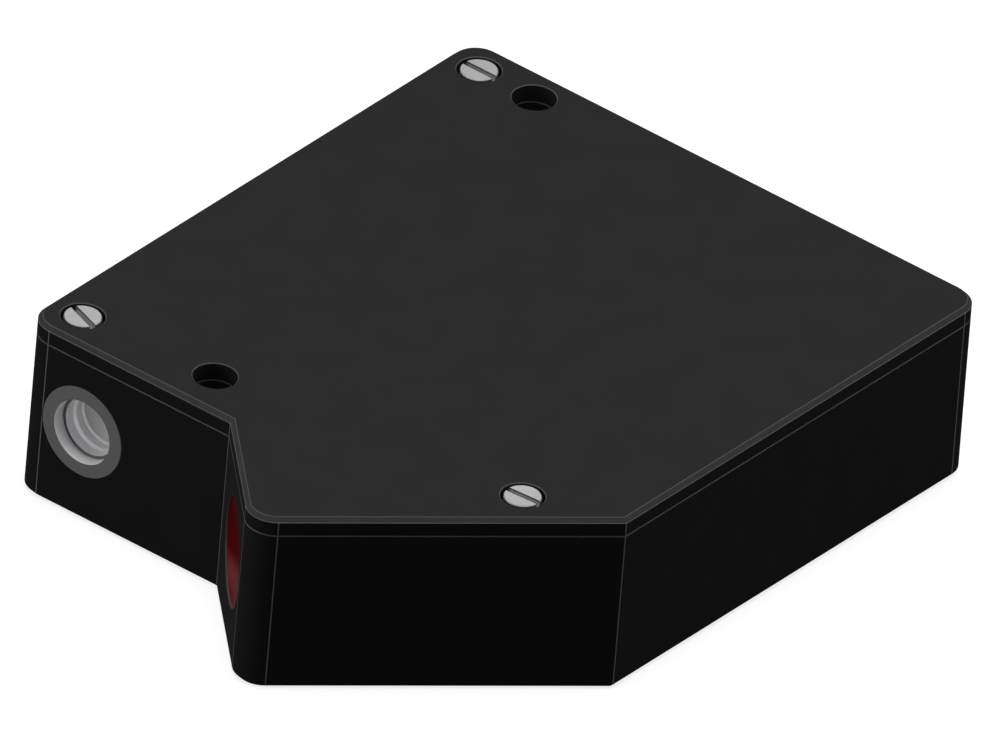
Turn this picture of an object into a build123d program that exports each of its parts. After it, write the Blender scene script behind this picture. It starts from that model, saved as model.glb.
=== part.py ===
from build123d import *
from math import asin, atan, cos, degrees, radians, sin, sqrt
import os

# Laser displacement sensor. A flat housing holds a laser barrel in its front face and a receiver
# in a face turned by the viewing angle, so that the two axes meet at the working distance.
# Lengths are in millimetres. Plan positions count from the sharp rear corner of the body, heights
# from its base, and depths inwards from the outer face that a piece sits in. The frame's origin
# is on the base, midway between the two mounting holes.

# Body
body_length = 70.0
body_width = 65.0
laser_face_width = 26.0
receiver_face_width = 17.68
view_angle = 45.0
cover_height = 2.0
top_room = 0.38
wall = 3.0
floor = 2.0
corner_radius = 3.0
cutter_radius = 2.0
edge_bevel = 0.5
edge_break = 0.1
cut_overrun = 3.0

# Fits, each one all round
slide_gap = 0.02
thread_gap = 0.03
solder_gap = 0.05
loose_gap = 0.1

# Mounting holes, clearance for M4
mount_hole = 4.5
mount_boss = 10.0
front_mount_inset = 5.0
front_mount_drop = 6.0
rear_mount_inset = 4.0
rear_mount_side = 11.0

# Slotted cheese head screws, M2
screw_size = 2.0
head_size = 3.8
head_height = 1.3
head_bevel = 0.08
slot_width = 0.5
slot_depth = 0.6
counterbore = 4.5
tip_room = 0.2

# Cover screws, with the plan angle of each slot
cover_screw_length = 4.0
cover_boss = 6.4
cover_screw_inset = 4.0
heel_screw_inset = 4.245
heel_screw_depth = 27.58
slot_angles = (-90.0, 69.0, -86.0)

# Cover seal in its groove round the pocket
seal_land = 0.8
seal_width = 1.0
seal_depth = 0.8

# Laser barrel and what it holds
optics_height = 10.0
laser_side = 8.0
barrel_size = 10.0
barrel_length = 17.0
barrel_bore = 7.0
barrel_bevel = 0.08
barrel_block_wall = 2.5
barrel_groove_depth = 6.0
barrel_groove_width = 1.3
barrel_seal_section = 1.0
barrel_seal_bevel = 0.25
set_screw_size = 2.5
set_screw_length = 2.4
set_screw_depth = 12.0
ring_depth = 1.4
ring_front_bore = 6.3
ring_front_step = 1.1
ring_middle_bore = 6.0
ring_middle_step = 0.89
ring_rear_bore = 5.6
ring_front_bevel = 0.36
ring_rear_bevel = 0.2
collimator_radius = 12.0
collimator_edge = 2.0
beam_bore = 5.0
can_size = 5.6
can_flange = 1.2
cap_size = 4.4
cap_length = 2.3
cap_window = 1.6
cap_window_depth = 0.2
lead_size = 0.45
lead_circle = 2.0
lead_length = 5.0
lead_count = 3
retainer_length = 2.0
retainer_bore = 3.8
retainer_slot = 1.0
driver_gap = 1.5
driver_width = 9.0
driver_height = 12.0
board_thin = 0.8

# Receiver window and optics
window_size = 11.0
window_place = 8.485
window_recess = 0.2
window_radius = 12.0
window_centre = 1.5
window_seal_height = 0.6
window_seal_rim = 1.2
receiver_ledge = 1.0
receiver_size = 11.0
receiver_length = 10.0
receiver_front_gap = 0.1
lens_size = 8.0
lens_radius = 9.3
lens_edge = 1.2
lens_index = 1.52
lens_ring_height = 1.2
lens_ring_bore = 6.8
receiver_bore = 7.0
stop_height = 1.2
stop_wide = 5.6
stop_high = 3.0
cradle_wall = 2.0
cradle_top = 12.0
clamp_width = 5.0
clamp_height = 0.8
clamp_foot = 5.0
clamp_depth = 10.0
working_distance = 30.0

# Detector, its board and bracket
chip_width = 10.0
chip_height = 5.0
chip_depth = 1.6
chip_glass = 0.3
detector_board_width = 14.0
detector_board_height = 13.4
detector_board_shift = 1.4
board_thick = 1.0
bracket_sheet = 1.2
bracket_top = 13.0
bracket_foot = 7.0
bracket_foot_width = 7.0
bracket_pad_height = 1.5
detector_screw_spread = 5.2
detector_screw_height = 4.75
short_screw_length = 2.5

# Main board
main_board_front = 22.5
main_board_length = 33.5
main_board_side_gap = 2.5
main_board_thick = 1.6
standoff_height = 4.0
standoff_size = 5.0
standoff_inset = 8.0
standoff_side_inset = 3.5
board_screw_length = 4.0

# Main board parts
processor_size = 12.0
processor_ahead = 6.0
processor_height = 1.4
processor_lift = 0.15
processor_leads = 11
processor_pitch = 0.8
lead_width = 0.35
lead_reach = 1.0
lead_thick = 0.2
regulator_width = 6.5
regulator_behind = 8.0
regulator_depth = 3.5
regulator_height = 1.6
capacitor_size = 5.0
capacitor_pitch = 8.0
capacitor_count = 3
capacitor_behind = 15.6
capacitor_corner = 0.6
capacitor_height = 5.4
capacitor_base = 0.8
crystal_length = 8.0
crystal_ahead = 18.0
crystal_width = 3.6
crystal_height = 3.0
socket_width = 8.0
socket_depth = 3.6
socket_height = 2.4
flex_width = 6.0
flex_thick = 0.2
flex_bend = 0.8
flex_sweep = 1.5

# Connector in the rear face, M8 thread
connector_thread = 8.0
connector_reach = 6.0
connector_flange = 12.0
connector_flange_height = 1.4
connector_bore = 6.4
connector_back = 7.0
connector_lip = 0.7
connector_lip_bore = 5.4
insert_face = 0.5
pin_size = 1.0
pin_front = 4.4
pin_tail = 0.6
pin_circle = 3.4
pin_count = 4
pin_bevel = 0.25
pin_overrun = 0.6
connector_seal_size = 10.4
connector_seal_rim = 0.9
connector_seal_depth = 0.8
nut_flats = 10.0
nut_height = 2.2
connector_board_depth = 8.6
connector_board_width = 14.0
connector_board_height = 13.0
link_pins = 5
link_pitch = 2.0
link_bar = 2.0
link_pin_size = 0.5
link_tail = 1.0
link_inset = 3.5
link_hole = 0.85

# Plan of the body: the receiver face turns outwards at the notch, and the long face beside it
# runs back square to it, parallel to the receiver's axis.
along = Vector(cos(radians(view_angle)), sin(radians(view_angle)))
inward = Vector(-along.Y, along.X)
up = Vector(0, 0, 1)
notch = Vector(body_length, laser_face_width)
nose = notch + along * receiver_face_width
heel = nose + inward * ((body_width - nose.Y) / inward.Y)
rear_corner = Vector(0, 0)
front_corner = Vector(body_length, 0)
far_corner = Vector(0, body_width)
plan_corners = [rear_corner, front_corner, notch, nose, heel, far_corner]
rounded_corners = [rear_corner, front_corner, nose, far_corner]

# Places of the holes
front_mount = notch - Vector(front_mount_inset, front_mount_drop)
rear_mount = Vector(rear_mount_inset, rear_mount_side)
cover_screw_spots = [
    Vector(cover_screw_inset, cover_screw_inset),
    Vector(body_length - cover_screw_inset, cover_screw_inset),
    nose - along * heel_screw_inset + inward * heel_screw_depth,
]
base_corner = (front_mount + rear_mount) * -0.5

# Heights: the cover clears the laser's block and the receiver's clamp screw
laser_block_top = optics_height + barrel_size / 2 + set_screw_length
clamp_top = optics_height + receiver_size / 2 + slide_gap
clamp_screw_top = clamp_top + clamp_height + head_height
housing_height = max(laser_block_top, clamp_screw_top) + top_room
body_height = housing_height + cover_height
screw_seat = body_height - head_height
screw_tip = screw_seat - cover_screw_length


def level(height):
    """A plane parallel to the base at a height, counted from the rear corner."""
    return Plane(origin=base_corner + up * height)


def spot(place, height):
    """A plan position at a height, in the part's own frame."""
    return base_corner + place + up * height


# The laser's plane: X runs inwards along the beam axis and Y upwards.
laser_plane = Plane(
    origin=spot(Vector(body_length, laser_side), optics_height),
    x_dir=(-1, 0, 0),
    z_dir=(0, 1, 0),
)
laser_axis = Axis(laser_plane.origin, laser_plane.x_dir)

# The receiver's plane: X runs inwards along its axis and Y upwards.
window_centre_plan = notch + along * window_place
receiver_plane = Plane(
    origin=spot(window_centre_plan, optics_height),
    x_dir=inward,
    z_dir=along,
)
receiver_axis = Axis(receiver_plane.origin, receiver_plane.x_dir)


def receiver_plan(height):
    """A flat plane at a height, with X across the receiver axis and Y inwards along it."""
    return Plane(origin=spot(window_centre_plan, height), x_dir=along, z_dir=up)


# The connector's plane: X runs inwards from the rear face and Y upwards.
connector_side = body_width / 2
connector_plane = Plane(
    origin=spot(Vector(0, connector_side), optics_height),
    x_dir=(1, 0, 0),
    z_dir=(0, -1, 0),
)
connector_axis = Axis(connector_plane.origin, connector_plane.x_dir)

# Depths of the receiver's pieces behind its face
window_edge = window_centre + window_radius - sqrt(window_radius**2 - (window_size / 2) ** 2)
window_back = window_recess + window_edge
window_ledge = window_back + window_seal_height
receiver_front = window_ledge + receiver_ledge + receiver_front_gap
lens_half = lens_size / 2
crown_offset = sqrt(lens_radius**2 - lens_half**2) - lens_edge / 2
ring_touch = sqrt(lens_radius**2 - (lens_ring_bore / 2) ** 2) - crown_offset
shoulder_touch = sqrt(lens_radius**2 - (receiver_bore / 2) ** 2) - crown_offset
lens_middle = receiver_front + lens_ring_height + ring_touch + slide_gap
receiver_back = receiver_front + receiver_length

# Thin lens law for the detector's place, and the tilt that keeps the whole beam sharp on it
lens_focus = lens_radius / (2 * (lens_index - 1))
target_distance = working_distance / sin(radians(view_angle)) + lens_middle
image_distance = lens_focus * target_distance / (target_distance - lens_focus)
detector_depth = lens_middle + image_distance
detector_tilt = degrees(atan(image_distance / target_distance))
detector_across = along * cos(radians(detector_tilt)) + inward * sin(radians(detector_tilt))
detector_plane = Plane(
    origin=spot(window_centre_plan + inward * detector_depth, optics_height),
    x_dir=detector_across,
    z_dir=Vector(detector_across.Y, -detector_across.X),
)

# Main board
main_board_level = floor + standoff_height
main_board_top = main_board_level + main_board_thick
main_board_end = body_length - main_board_front
main_board_start = main_board_end - main_board_length
main_board_width = body_width - 2 * (wall + main_board_side_gap)
main_board_middle = Vector(main_board_end - main_board_length / 2, body_width / 2)


def body_outline():
    """The body's outline seen from above."""
    with BuildSketch() as outline:
        with BuildLine():
            Polyline(*plan_corners, close=True)
        make_face()
        rounded = [outline.vertices().sort_by_distance(place)[0] for place in rounded_corners]
        fillet(rounded, corner_radius)
    return outline.sketch


def pocket_outline(grow=0.0):
    """The milled pocket seen from above, with the screw bosses left standing in it."""
    with BuildSketch() as pocket:
        with BuildLine():
            Polyline(*plan_corners, close=True)
        make_face()
        offset(amount=-wall, kind=Kind.INTERSECTION, mode=Mode.REPLACE)
        notch_inside = pocket.vertices().sort_by_distance(notch)[0]
        with Locations(*cover_screw_spots):
            Circle(cover_boss / 2, mode=Mode.SUBTRACT)
        with Locations(front_mount, rear_mount):
            Circle(mount_boss / 2, mode=Mode.SUBTRACT)
        fillet(pocket.vertices().sort_by_distance(notch_inside)[1:], cutter_radius)
        if grow:
            offset(amount=grow, mode=Mode.REPLACE)
    return pocket.sketch


def seal_track(gap=0.0):
    """The seal's closed track round the pocket, narrower by a gap on each side."""
    with BuildSketch() as track:
        add(pocket_outline(seal_land + seal_width - gap))
        add(pocket_outline(seal_land + gap), mode=Mode.SUBTRACT)
    return track.sketch


def cheese_head_screws(seats, length):
    """Slotted cheese head screws: each head stands on its seat plane, its slot along the plane's X."""
    with BuildPart() as screws:
        for seat in seats:
            with BuildSketch(seat):
                Circle(head_size / 2)
            extrude(amount=head_height)
            rim = screws.edges().filter_by(GeomType.CIRCLE).sort_by_distance(
                seat.origin + seat.z_dir * head_height
            )[0]
            chamfer(rim, head_bevel)
            with BuildSketch(seat):
                Circle(screw_size / 2)
            extrude(amount=-length)
            with BuildSketch(seat.offset(head_height)):
                Rectangle(head_size, slot_width)
            extrude(amount=-slot_depth, mode=Mode.SUBTRACT)
    return screws.part


def ribbon(plane, points, radii, width):
    """A flat flexible circuit: a thin strip that follows a path in the plane, centred on it."""
    with BuildPart() as strip:
        with BuildSketch(plane):
            with BuildLine():
                FilletPolyline(*points, radius=radii)
            trace(line_width=flex_thick)
        extrude(amount=width / 2, both=True)
    return strip.part


# Cover plate
with BuildPart() as cover:
    with BuildSketch(level(housing_height)):
        add(body_outline())
    extrude(amount=cover_height)
    chamfer(cover.faces().sort_by(Axis.Z)[-1].edges(), edge_bevel)
    chamfer(cover.faces().sort_by(Axis.Z)[0].edges(), edge_break)
    with BuildSketch(level(housing_height)):
        with Locations(front_mount, rear_mount):
            Circle(mount_hole / 2)
        with Locations(*cover_screw_spots):
            Circle(screw_size / 2 + loose_gap)
    extrude(amount=cover_height, mode=Mode.SUBTRACT)
    with BuildSketch(level(screw_seat)):
        with Locations(*cover_screw_spots):
            Circle(counterbore / 2)
    extrude(amount=head_height, mode=Mode.SUBTRACT)
    top_edges = cover.edges().group_by(Axis.Z)[-1]
    chamfer([edge for edge in top_edges if edge.is_closed], edge_break)
cover.part.label = "cover"

# Seal in the housing's rim
with BuildPart() as cover_seal:
    with BuildSketch(level(housing_height - seal_depth)):
        add(seal_track(loose_gap))
    extrude(amount=seal_depth)
cover_seal.part.label = "cover_seal"

# Screws in the cover
cover_seats = [
    Plane(
        origin=spot(place, screw_seat),
        x_dir=(cos(radians(angle)), sin(radians(angle)), 0),
        z_dir=up,
    )
    for place, angle in zip(cover_screw_spots, slot_angles)
]
cover_screws = cheese_head_screws(cover_seats, cover_screw_length)
cover_screws.label = "cover_screws"

# Housing: block, pocket, optical seats, pads and holes. The blocks that stand inside it start in
# the middle of its wall.
block_root = wall / 2
laser_block_back = body_length - barrel_length
laser_block_side = laser_side + barrel_size / 2 + barrel_block_wall
cradle_side = receiver_size / 2 + cradle_wall
clamp_seat_side = receiver_size / 2 + clamp_foot / 2 + cradle_wall / 2
nose_side = receiver_face_width - window_place
pad_inside = receiver_front - receiver_front_gap
bracket_back = chip_depth - chip_glass + board_thick + bracket_sheet
bracket_floor = floor + bracket_pad_height
bracket_centre_x = -detector_board_shift - (detector_board_width - bracket_foot_width) / 2
bracket_pad_plane = Plane(
    origin=detector_plane.origin - up * (optics_height - floor),
    x_dir=detector_plane.x_dir,
    z_dir=up,
)
bracket_pad_middle = bracket_back + bracket_foot / 2
standoff_spread_x = main_board_length - 2 * standoff_inset
standoff_spread_y = main_board_width - 2 * standoff_side_inset
set_screw_spot = Vector(body_length - set_screw_depth, laser_side)

with BuildPart() as housing:
    with BuildSketch(level(0)):
        add(body_outline())
    extrude(amount=housing_height)
    chamfer(housing.faces().sort_by(Axis.Z)[0].edges(), edge_bevel)
    chamfer(housing.faces().sort_by(Axis.Z)[-1].edges(), edge_break)
    with BuildSketch(level(floor)):
        add(pocket_outline())
    extrude(amount=housing_height - floor, mode=Mode.SUBTRACT)
    # Block round the laser barrel
    with BuildSketch(level(floor)):
        with Locations((laser_block_back, block_root)):
            Rectangle(
                body_length - block_root - laser_block_back,
                laser_block_side - block_root,
                align=(Align.MIN, Align.MIN),
            )
    extrude(amount=laser_block_top - floor)
    # Thick seat behind the receiver window, and the cradle of the receiver barrel
    with BuildSketch(receiver_plan(floor)):
        with Locations((-cradle_side, block_root)):
            Rectangle(
                cradle_side + nose_side - block_root,
                pad_inside - block_root,
                align=(Align.MIN, Align.MIN),
            )
    extrude(amount=clamp_top - floor)
    with BuildSketch(receiver_plan(floor)):
        with Locations((-cradle_side, pad_inside)):
            Rectangle(
                cradle_side + nose_side - block_root,
                receiver_back - pad_inside,
                align=(Align.MIN, Align.MIN),
            )
    extrude(amount=cradle_top - floor)
    with BuildSketch(receiver_plan(floor)):
        with Locations((-clamp_seat_side, clamp_depth)):
            Rectangle(clamp_foot, clamp_width)
    extrude(amount=clamp_top - floor)
    # Pad of the detector bracket and the main board's standoffs
    with BuildSketch(bracket_pad_plane):
        with Locations((bracket_centre_x, bracket_pad_middle)):
            Rectangle(bracket_foot_width, bracket_foot)
    extrude(amount=bracket_pad_height)
    with BuildSketch(level(floor)):
        with Locations(main_board_middle):
            with GridLocations(standoff_spread_x, standoff_spread_y, 2, 2):
                Circle(standoff_size / 2)
    extrude(amount=standoff_height)
    # Groove of the cover seal
    with BuildSketch(level(housing_height)):
        add(seal_track())
    extrude(amount=-seal_depth, mode=Mode.SUBTRACT)
    # Laser bore and the hole of its set screw
    with BuildSketch(laser_plane):
        with Locations((-cut_overrun, 0)):
            Rectangle(
                barrel_length + 2 * cut_overrun,
                barrel_size / 2 + slide_gap,
                align=(Align.MIN, Align.MIN),
            )
    revolve(axis=laser_axis, mode=Mode.SUBTRACT)
    with BuildSketch(level(laser_block_top)):
        with Locations(set_screw_spot):
            Circle(set_screw_size / 2 + thread_gap)
    extrude(amount=optics_height - laser_block_top, mode=Mode.SUBTRACT)
    # Receiver bores: window, ledge and cradle, which is open upwards
    with BuildSketch(receiver_plane):
        with BuildLine():
            Polyline(
                (-cut_overrun, 0),
                (-cut_overrun, window_size / 2 + slide_gap + edge_break),
                (0, window_size / 2 + slide_gap + edge_break),
                (edge_break, window_size / 2 + slide_gap),
                (window_ledge, window_size / 2 + slide_gap),
                (window_ledge, window_size / 2 - window_seal_rim),
                (pad_inside, window_size / 2 - window_seal_rim),
                (pad_inside, receiver_size / 2 + slide_gap),
                (receiver_back + cut_overrun, receiver_size / 2 + slide_gap),
                (receiver_back + cut_overrun, 0),
                close=True,
            )
        make_face()
    revolve(axis=receiver_axis, mode=Mode.SUBTRACT)
    with BuildSketch(receiver_plan(optics_height)):
        with Locations((0, pad_inside)):
            Rectangle(
                receiver_size + 2 * slide_gap,
                receiver_back - pad_inside,
                align=(Align.CENTER, Align.MIN),
            )
    extrude(amount=housing_height - optics_height, mode=Mode.SUBTRACT)
    # Mounting holes, tapped holes and the connector's bore
    with BuildSketch(level(0)):
        with Locations(front_mount, rear_mount):
            Circle(mount_hole / 2)
    extrude(amount=housing_height, mode=Mode.SUBTRACT)
    with BuildSketch(level(housing_height)):
        with Locations(*cover_screw_spots):
            Circle(screw_size / 2 + thread_gap)
    extrude(amount=screw_tip - tip_room - housing_height, mode=Mode.SUBTRACT)
    with BuildSketch(receiver_plan(clamp_top)):
        with Locations((-clamp_seat_side, clamp_depth)):
            Circle(screw_size / 2 + thread_gap)
    extrude(amount=-short_screw_length - tip_room, mode=Mode.SUBTRACT)
    with BuildSketch(bracket_pad_plane.offset(bracket_pad_height)):
        with Locations((bracket_centre_x, bracket_pad_middle)):
            Circle(screw_size / 2 + thread_gap)
    extrude(amount=-short_screw_length - tip_room, mode=Mode.SUBTRACT)
    with BuildSketch(level(main_board_level)):
        with Locations(main_board_middle):
            with GridLocations(standoff_spread_x, standoff_spread_y, 2, 2):
                Circle(screw_size / 2 + thread_gap)
    extrude(amount=-board_screw_length + main_board_thick - tip_room, mode=Mode.SUBTRACT)
    with BuildSketch(connector_plane):
        with Locations((-cut_overrun, 0)):
            Rectangle(
                wall + 2 * cut_overrun,
                connector_thread / 2 + loose_gap,
                align=(Align.MIN, Align.MIN),
            )
    revolve(axis=connector_axis, mode=Mode.SUBTRACT)
housing.part.label = "housing"

# Laser barrel, seen as its half section: stepped bore, seal groove and the diode's seat
collimator_seat = ring_depth + ring_front_step + ring_front_bevel + ring_middle_step + ring_rear_bevel
collimator_sag = collimator_radius - sqrt(collimator_radius**2 - (ring_rear_bore / 2) ** 2)
collimator_rim = collimator_radius - sqrt(collimator_radius**2 - (barrel_bore / 2 - slide_gap) ** 2)
collimator_front = collimator_seat - collimator_sag + slide_gap
collimator_back = collimator_front + collimator_rim + collimator_edge
retainer_depth = barrel_length - retainer_length
flange_depth = retainer_depth - can_flange
groove_floor = barrel_size / 2 - barrel_seal_section + loose_gap
groove_middle = barrel_groove_depth + barrel_groove_width / 2

with BuildPart() as laser_barrel:
    with BuildSketch(laser_plane):
        with BuildLine():
            Polyline(
                (0, barrel_bore / 2),
                (0, barrel_size / 2 - barrel_bevel),
                (barrel_bevel, barrel_size / 2),
                (barrel_groove_depth, barrel_size / 2),
                (barrel_groove_depth, groove_floor),
                (barrel_groove_depth + barrel_groove_width, groove_floor),
                (barrel_groove_depth + barrel_groove_width, barrel_size / 2),
                (barrel_length, barrel_size / 2),
                (barrel_length, barrel_bore / 2),
                (retainer_depth, barrel_bore / 2),
                (retainer_depth, can_size / 2 + slide_gap),
                (flange_depth, can_size / 2 + slide_gap),
                (flange_depth, beam_bore / 2),
                (collimator_back, ring_rear_bore / 2),
                (collimator_back, barrel_bore / 2),
                close=True,
            )
        make_face()
    revolve(axis=laser_axis)
laser_barrel.part.label = "laser_barrel"

with BuildPart() as barrel_seal:
    with BuildSketch(laser_plane):
        with Locations((groove_middle, (groove_floor + barrel_size / 2) / 2)):
            Rectangle(
                barrel_groove_width - 2 * loose_gap,
                barrel_size / 2 - groove_floor - slide_gap,
            )
        chamfer(barrel_seal.vertices(), barrel_seal_bevel)
    revolve(axis=laser_axis)
barrel_seal.part.label = "barrel_seal"

with BuildPart() as barrel_set_screw:
    with BuildSketch(level(laser_block_top)):
        with Locations(set_screw_spot):
            Circle(set_screw_size / 2)
    extrude(amount=-set_screw_length + slide_gap)
    with BuildSketch(level(laser_block_top)):
        with Locations(set_screw_spot):
            Rectangle(set_screw_size, slot_width)
    extrude(amount=-slot_depth, mode=Mode.SUBTRACT)
barrel_set_screw.part.label = "barrel_set_screw"

with BuildPart() as lens_ring:
    with BuildSketch(laser_plane):
        with BuildLine():
            first_cone = ring_depth + ring_front_step
            second_wall = first_cone + ring_front_bevel
            second_cone = second_wall + ring_middle_step
            Polyline(
                (ring_depth, barrel_bore / 2 - slide_gap),
                (ring_depth, ring_front_bore / 2),
                (first_cone, ring_front_bore / 2),
                (second_wall, ring_middle_bore / 2),
                (second_cone, ring_middle_bore / 2),
                (collimator_seat, ring_rear_bore / 2),
                (collimator_seat, barrel_bore / 2 - slide_gap),
                close=True,
            )
        make_face()
    revolve(axis=laser_axis)
lens_ring.part.label = "lens_ring"

with BuildPart() as collimator_lens:
    with BuildSketch(laser_plane):
        with BuildLine():
            lens_edge_radius = barrel_bore / 2 - slide_gap
            crown = CenterArc(
                (collimator_front + collimator_radius, 0),
                collimator_radius,
                180,
                -degrees(asin(lens_edge_radius / collimator_radius)),
            )
            Polyline(crown @ 1, (collimator_back, lens_edge_radius), (collimator_back, 0), crown @ 0)
        make_face()
    revolve(axis=laser_axis)
collimator_lens.part.label = "collimator_lens"

with BuildPart() as laser_diode:
    with BuildSketch(laser_plane):
        with BuildLine():
            Polyline(
                (retainer_depth, 0),
                (retainer_depth, can_size / 2),
                (flange_depth, can_size / 2),
                (flange_depth, cap_size / 2),
                (flange_depth - cap_length, cap_size / 2),
                (flange_depth - cap_length, cap_window / 2),
                (flange_depth - cap_length + cap_window_depth, cap_window / 2),
                (flange_depth - cap_length + cap_window_depth, 0),
                close=True,
            )
        make_face()
    revolve(axis=laser_axis)
    leads_plane = Plane(
        origin=laser_plane.from_local_coords((retainer_depth, 0, 0)),
        x_dir=(0, 1, 0),
        z_dir=laser_plane.x_dir,
    )
    with BuildSketch(leads_plane):
        with PolarLocations(lead_circle / 2, lead_count):
            Circle(lead_size / 2)
    extrude(amount=lead_length)
laser_diode.part.label = "laser_diode"

with BuildPart() as diode_retainer:
    with BuildSketch(laser_plane):
        with Locations((retainer_depth, retainer_bore / 2)):
            Rectangle(
                retainer_length,
                (barrel_bore - retainer_bore) / 2 - slide_gap,
                align=(Align.MIN, Align.MIN),
            )
    revolve(axis=laser_axis)
    with BuildSketch(leads_plane.offset(retainer_length)):
        Rectangle(barrel_bore, retainer_slot)
    extrude(amount=-slot_depth, mode=Mode.SUBTRACT)
diode_retainer.part.label = "diode_retainer"

driver_plane = leads_plane.offset(retainer_length + driver_gap)
with BuildPart() as laser_driver_board:
    with BuildSketch(driver_plane):
        Rectangle(driver_width, driver_height)
        with PolarLocations(lead_circle / 2, lead_count):
            Circle(lead_size / 2 + solder_gap, mode=Mode.SUBTRACT)
    extrude(amount=board_thin)
laser_driver_board.part.label = "laser_driver_board"

# Receiver window: a red filter lens with a dished front
with BuildPart() as receiver_window:
    with BuildSketch(receiver_plane):
        with BuildLine():
            dish_half = window_size / 2
            dish_floor = window_back - window_centre
            dish = CenterArc(
                (dish_floor - window_radius, 0),
                window_radius,
                0,
                degrees(asin(dish_half / window_radius)),
            )
            Polyline(dish @ 1, (window_back, dish_half), (window_back, 0), dish @ 0)
        make_face()
    revolve(axis=receiver_axis)
receiver_window.part.label = "receiver_window"

with BuildPart() as window_seal:
    with BuildSketch(receiver_plane):
        with Locations((window_back, window_size / 2 - window_seal_rim)):
            Rectangle(window_seal_height, window_seal_rim, align=(Align.MIN, Align.MIN))
    revolve(axis=receiver_axis)
window_seal.part.label = "window_seal"

# Receiver barrel with the imaging lens between its shoulder and a ring
lens_shoulder = lens_middle + shoulder_touch + slide_gap
stop_front = receiver_back - stop_height
with BuildPart() as receiver_barrel:
    with BuildSketch(receiver_plane):
        with BuildLine():
            Polyline(
                (receiver_front, lens_size / 2 + slide_gap),
                (receiver_front, receiver_size / 2),
                (receiver_back, receiver_size / 2),
                (receiver_back, lens_size / 2 + slide_gap),
                (stop_front, lens_size / 2 + slide_gap),
                (stop_front, receiver_bore / 2),
                (lens_shoulder, receiver_bore / 2),
                (lens_shoulder, lens_size / 2 + slide_gap),
                close=True,
            )
        make_face()
    revolve(axis=receiver_axis)
receiver_barrel.part.label = "receiver_barrel"

with BuildPart() as imaging_lens:
    with BuildSketch(receiver_plane):
        with BuildLine():
            lens_angle = degrees(asin(lens_half / lens_radius))
            front_crown = CenterArc((lens_middle + crown_offset, 0), lens_radius, 180, -lens_angle)
            back_crown = CenterArc((lens_middle - crown_offset, 0), lens_radius, 0, lens_angle)
            Line(front_crown @ 1, back_crown @ 1)
            Line(back_crown @ 0, front_crown @ 0)
        make_face()
    revolve(axis=receiver_axis)
imaging_lens.part.label = "imaging_lens"

with BuildPart() as imaging_lens_ring:
    with BuildSketch(receiver_plane):
        with Locations((receiver_front, lens_ring_bore / 2)):
            Rectangle(
                lens_ring_height,
                (lens_size - lens_ring_bore) / 2,
                align=(Align.MIN, Align.MIN),
            )
    revolve(axis=receiver_axis)
imaging_lens_ring.part.label = "imaging_lens_ring"

stop_plane = Plane(
    origin=receiver_plane.from_local_coords((stop_front, 0, 0)),
    x_dir=along,
    z_dir=inward,
)
with BuildPart() as stray_light_stop:
    with BuildSketch(stop_plane):
        Circle(lens_size / 2)
        Rectangle(stop_wide, stop_high, mode=Mode.SUBTRACT)
    extrude(amount=stop_height)
stray_light_stop.part.label = "stray_light_stop"

with BuildPart() as receiver_clamp:
    with BuildSketch(receiver_plan(clamp_top)):
        with Locations((-clamp_seat_side - clamp_foot / 2, clamp_depth)):
            Rectangle(
                clamp_seat_side + clamp_foot / 2 + screw_size,
                clamp_width,
                align=(Align.MIN, Align.CENTER),
            )
        with Locations((-clamp_seat_side, clamp_depth)):
            Circle(screw_size / 2 + loose_gap, mode=Mode.SUBTRACT)
    extrude(amount=clamp_height)
    fillet(receiver_clamp.edges().filter_by(Axis.Z), clamp_height)
receiver_clamp.part.label = "receiver_clamp"

clamp_seat = Plane(
    origin=receiver_plan(clamp_top + clamp_height).from_local_coords((-clamp_seat_side, clamp_depth, 0)),
    x_dir=along,
    z_dir=up,
)
clamp_screw = cheese_head_screws([clamp_seat], short_screw_length)
clamp_screw.label = "clamp_screw"

# Detector on its board, in front of the bracket
board_face = chip_glass - chip_depth
detector_board_middle = (-detector_board_shift, 0)
detector_screw_spots = [
    (-detector_board_shift + side * detector_screw_spread, -detector_screw_height) for side in (-1, 1)
]
with BuildPart() as detector:
    with BuildSketch(detector_plane.offset(board_face)):
        Rectangle(chip_width, chip_height)
    extrude(amount=chip_depth)
    with BuildSketch(detector_plane.offset(chip_glass)):
        Rectangle(chip_width - 2 * chip_glass, chip_height / 2)
    extrude(amount=-chip_glass, mode=Mode.SUBTRACT)
detector.part.label = "detector"

with BuildPart() as detector_board:
    with BuildSketch(detector_plane.offset(board_face)):
        with Locations(detector_board_middle):
            Rectangle(detector_board_width, detector_board_height)
        with Locations(*detector_screw_spots):
            Circle(screw_size / 2 + loose_gap, mode=Mode.SUBTRACT)
    extrude(amount=-board_thick)
detector_board.part.label = "detector_board"

bracket_face = board_face - board_thick
bracket_rise = bracket_top - bracket_floor
with BuildPart() as detector_bracket:
    with BuildSketch(detector_plane.offset(bracket_face)):
        with Locations((-detector_board_shift, bracket_floor - optics_height)):
            Rectangle(detector_board_width, bracket_rise, align=(Align.CENTER, Align.MIN))
    extrude(amount=-bracket_sheet)
    with BuildSketch(bracket_pad_plane.offset(bracket_pad_height)):
        with Locations((bracket_centre_x, -bracket_face)):
            Rectangle(
                bracket_foot_width,
                bracket_sheet + bracket_foot,
                align=(Align.CENTER, Align.MIN),
            )
        with Locations((bracket_centre_x, bracket_pad_middle)):
            Circle(screw_size / 2 + loose_gap, mode=Mode.SUBTRACT)
    extrude(amount=bracket_sheet)
    with BuildSketch(detector_plane.offset(bracket_face)):
        with Locations(*detector_screw_spots):
            Circle(screw_size / 2 + thread_gap)
    extrude(amount=-bracket_sheet, mode=Mode.SUBTRACT)
detector_bracket.part.label = "detector_bracket"

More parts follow.
